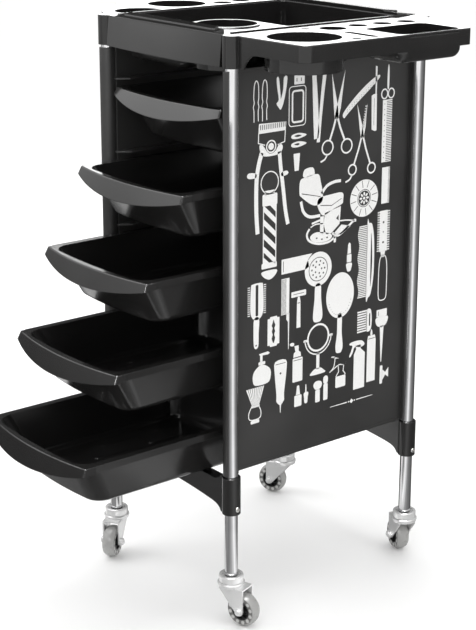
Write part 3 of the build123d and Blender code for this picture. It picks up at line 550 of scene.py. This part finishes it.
# Right: two-sided comb, curved comb, lipstick.
solid(block(111, 511, 127, 574), oval(119, 556, 1.8), oval(119, 541, 1.2), oval(119, 525, 1.8))
for k in range(17):
    v = 512 + 3.7 * k
    solid(block(106.5, v, 111.4, v + 1.7))
    solid(block(126.6, v, 132, v + 1.7))
solid([(114, 511.5), (124, 511.5), (122, 502), (116, 502)])
line(smooth([(115.5, 503), (112, 488), (111.4, 452), (113, 437), (120, 434), (127, 437), (128.4, 452),
             (128, 488), (124, 503)], True), 1.6, True)
solid(smooth([(90, 559), (96, 556), (100.5, 530), (101, 480), (96, 450), (91, 444), (86, 446),
              (86, 558)], True, 4),
      smooth([(94.5, 545), (97.5, 500), (94.8, 458), (94, 500)], True, 4))
for k in range(40):
    v = 446 + 2.8 * k
    solid(block(69 + 1.6 * math.sin(k * 0.5), v, 87, v + 1.7))
solid([(47, 519), (54, 519), (53, 534), (50, 536), (48, 533)])
solid(block(46, 506, 55, 518, 1))
solid(smooth([(45, 504), (56, 504), (55, 496), (53, 492), (48, 492), (46, 496)], True, 3))

# Middle band: dryer, brush, tail comb, razor, blade, hand mirror.
dryer_holes = [oval(-10 + r * math.cos(a), 506 + r * math.sin(a), 1.5, count=10)
               for r, n in ((6.5, 5), (12.3, 10)) for a in (2 * math.pi * k / n for k in range(n))]
solid([(-80, 510), (-34, 510), (-28, 513), (-30, 524), (-22, 532), (-80, 532)], block(-77, 513, -76, 529))
solid(oval(-10, 506, 26, count=44), oval(-10, 506, 18.4, count=36))
solid(oval(-10, 506, 17.2, count=36), *dryer_holes)
solid(smooth([(-15, 482), (-5, 482), (-3.5, 460), (-0.5, 436), (-3, 427), (-10, 425), (-17, 427), (-19, 436),
              (-16.5, 460)], True, 4))
solid(smooth([(-136, 500), (-133, 505), (-117, 505), (-114, 500), (-113, 470), (-115, 458), (-121, 452),
              (-129, 452), (-135, 458), (-137, 470)], True, 4), block(-127.5, 457, -122.5, 503, 1.5))
for k in range(14):
    v = 459 + 3.2 * k
    solid(block(-142, v, -137.4, v + 1.3))
    solid(block(-112.8, v, -108.4, v + 1.3))
solid(smooth([(-130, 453), (-121, 453), (-121.5, 430), (-122, 412), (-126, 408), (-130, 412),
              (-131, 430)], True, 4),
      oval(-126, 413, 1.4))
comb(-80, -65, 449, 503, 5.5, 1.7, 0.7, side=-1)
solid([(-70, 450), (-64.5, 450), (-65, 396), (-66, 394), (-67, 437), (-70, 441)])
solid(block(-61, 471.5, -33, 480, 1.5), block(-57, 475.3, -37, 476.2))
solid([(-48.5, 471), (-45, 471), (-43.5, 464), (-43, 424), (-50.5, 424), (-50, 464)],
      block(-49, 461, -44.5, 462.2))
solid([(-105, 448), (-101, 448), (-100, 450.5), (-88, 450.5), (-87, 448), (-83, 448), (-83, 408), (-87, 408),
       (-88, 405.5), (-100, 405.5), (-101, 408), (-105, 408)],
      smooth([(-94, 446), (-92.2, 441), (-90.6, 437), (-92.4, 433), (-91, 428), (-92.6, 423), (-90.8, 418),
              (-92.2, 413), (-94, 410), (-95.8, 413), (-97.2, 418), (-95.4, 423), (-97, 428), (-95.6, 433),
              (-97.4, 437), (-95.8, 441)], True, 2))
mirror_specks = [oval(34 + 23 * math.cos(a), 458 + 30 * math.sin(a), 0.6, count=6)
                 for a in (math.radians(200 + 10 * k) for k in range(15))]
solid(oval(34, 458, 27.5, 35, count=48), *mirror_specks)
solid(smooth([(30, 427), (38, 427), (38.6, 400), (41, 378), (38, 369), (33, 368), (28, 370), (26.6, 380),
              (29.2, 400)], True, 4))

# Lower band: stand mirror, bottles, clipper, brushes.
ring(-8, 401, 20.2, 3)
line([(-8 + 25.5 * math.cos(a), 401 + 25.5 * math.sin(a))
      for a in (math.radians(182 + 8.8 * k) for k in range(21))], 1.8)
for side in (-1, 1):
    solid(block(-8 + side * 25 - 3.5, 398, -8 + side * 25 + 3.5, 402, 1.5))
solid(block(-11, 352, -5, 377, 1))
solid(smooth([(-22, 344), (-20, 349), (-13, 353), (-3, 353), (3, 349), (6, 344)], True, 3))
solid([(-121, 399), (-104, 400), (-100.5, 397), (-104, 395.4), (-114, 396), (-114, 386), (-118.5, 386),
       (-118.5, 396)])
solid(block(-121.5, 382, -109, 386.6, 1))
solid(smooth([(-120, 381), (-111, 381), (-100, 373), (-98.5, 362), (-104, 352.5), (-127, 352.5), (-132, 362),
              (-130, 373)], True, 4))
solid(smooth([(-90.5, 380), (-70, 380), (-69, 362), (-73, 330), (-73.5, 317), (-86.5, 317), (-87.5, 330),
              (-91, 362)], True, 3), oval(-80, 361, 1.7), block(-89.5, 375.4, -70.6, 376.4))
solid([(-86, 316), (-74.5, 316), (-78.6, 312), (-79.4, 300), (-80.2, 300), (-81, 312)])
solid(smooth([(-63, 401), (-60, 403), (-55, 402), (-55, 398), (-60, 398)], True, 3))
solid([(-54, 397), (-46, 397), (-45.5, 388), (-42, 386), (-41, 379.5), (-56, 379.5), (-55, 386), (-52, 388)])
solid(block(-57, 341, -38, 378, 1.5), block(-55.6, 374, -39.4, 375))
for k in range(9):
    solid([(-144 + 3.8 * k, 349.5), (-141.2 + 3.8 * k, 349.5),
           (-131.6 + 1.45 * k, 322), (-132.8 + 1.45 * k, 322)])
solid(block(-135, 319.5, -119, 322.8, 1))
line(smooth([(-135, 320), (-139, 312), (-138.5, 304), (-133, 301), (-122, 301), (-117, 304), (-116.6, 312),
             (-120, 320)]), 1.5)
solid(block(-135.5, 295, -119.5, 300, 1.4))
solid([(-48, 334.5), (-44, 334.5), (-42, 320), (-50, 320)])
solid(block(-53, 302, -39, 319.4, 1.4))
solid([(-31.6, 333), (-30, 333), (-29.4, 321), (-32, 321)])
solid(smooth([(-34.5, 320), (-26, 320), (-27, 312), (-28, 304), (-33, 304), (-34, 312)], True, 3))
solid(smooth([(-16, 327), (-13, 332), (-7, 333), (-1, 331), (1, 326), (-3, 320), (-12, 320)], True, 4))
solid(block(-12, 299.5, -3, 319, 1.6))
solid(smooth([(3.6, 335), (8, 338), (12.4, 335), (11.6, 326), (4.6, 326)], True, 3))
solid(block(4, 299.5, 12.4, 325, 1.4))
line(smooth([(16.5, 341), (24, 348), (26, 362), (20, 364), (31, 360), (48, 350), (44, 347),
             (34, 349)], True), 1.5, True)
line([(33, 347), (34, 338), (30, 333), (28.5, 331)], 1.5)
line([(44, 347), (43, 338), (47, 333), (47.5, 331)], 1.5)
solid(block(28, 313, 48, 331, 2))
solid(smooth([(56, 378), (66, 379.5), (80, 378), (86, 371), (78, 368), (66, 370), (62, 362), (57, 356),
              (55, 358), (59, 366), (61, 373), (56, 375)], True, 4))
solid([(68, 372), (78, 372), (78, 366), (87, 358), (87, 302), (64.5, 302), (64.5, 358), (69, 366)])
solid(smooth([(99, 391), (100.8, 391), (102, 383), (97.6, 383)], True, 2))
solid([(93, 382), (107, 382), (109, 374), (109, 308), (91.5, 308), (91.5, 374)],
      block(93, 376.5, 107.6, 377.5))
solid(block(109.5, 408, 131, 419.5, 1), block(113, 410, 114, 417))
solid(smooth([(109, 407), (132.5, 407), (131, 396), (124, 391.5), (117, 391.5), (110, 396)], True, 4))
solid([(117, 393), (125, 393), (122, 336), (120.6, 334), (120, 340)])
solid(block(119.5, 299, 125, 328.5, 1.4))
solid([(124.5, 322), (131, 316), (137.5, 323), (137.5, 307), (131, 312), (124.5, 303)])
solid(smooth([(90, 425), (97, 424), (99.5, 412), (99.5, 400), (97, 391), (90, 390), (88, 400),
              (88, 415)], True, 3),
      block(94, 398, 96.6, 418, 1))
for k in range(9):
    solid(block(70, 391 + 3.9 * k, 90, 393.4 + 3.9 * k))

# A plain ornament under the tools: a broken rule with three lozenges.
solid([(18, 285.4), (52, 285.8), (52, 284.2), (18, 284.6)])
solid([(71, 285.8), (105, 285.4), (105, 284.6), (71, 284.2)])
for u, r in ((55.5, 1.6), (61.5, 3.8), (67.5, 1.6)):
    solid([(u - r, 285), (u, 285 + r), (u + r, 285), (u, 285 - r)])

PANEL_FACE_X, INK_SUNK, INK_PROUD = 141.5 * MM, 0.04 * MM, 0.07 * MM


def printed(name, side):
    """The whole print as one mesh of thin closed shapes, sunk a little into the panel's outer face."""
    mesh = bmesh.new()
    for loops in shapes:
        flat = [[Vector((u, v, 0)) for u, v in loop] for loop in loops]
        spots = [p for loop in flat for p in loop]
        levels = []
        for depth in (-INK_SUNK, INK_PROUD):
            x = side * (PANEL_FACE_X + depth)
            levels.append([mesh.verts.new((x, LEG_CENTRE_Y + side * p.x * MM, p.y * MM)) for p in spots])
        for triangle in tessellate_polygon(flat):
            for level in levels:
                mesh.faces.new([level[k] for k in triangle])
        start = 0
        for loop in flat:
            for k in range(len(loop)):
                a, b = start + k, start + (k + 1) % len(loop)
                mesh.faces.new([levels[0][a], levels[0][b], levels[1][b], levels[1][a]])
            start += len(loop)
    bmesh.ops.recalc_face_normals(mesh, faces=mesh.faces)
    data = bpy.data.meshes.new(name)
    mesh.to_mesh(data)
    mesh.free()
    data.materials.append(print_ink.material)
    piece = bpy.data.objects.new(name, data)
    bpy.context.scene.collection.objects.link(piece)
    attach(piece, "frame")


printed("panel_print_right", 1)
printed("panel_print_left", -1)
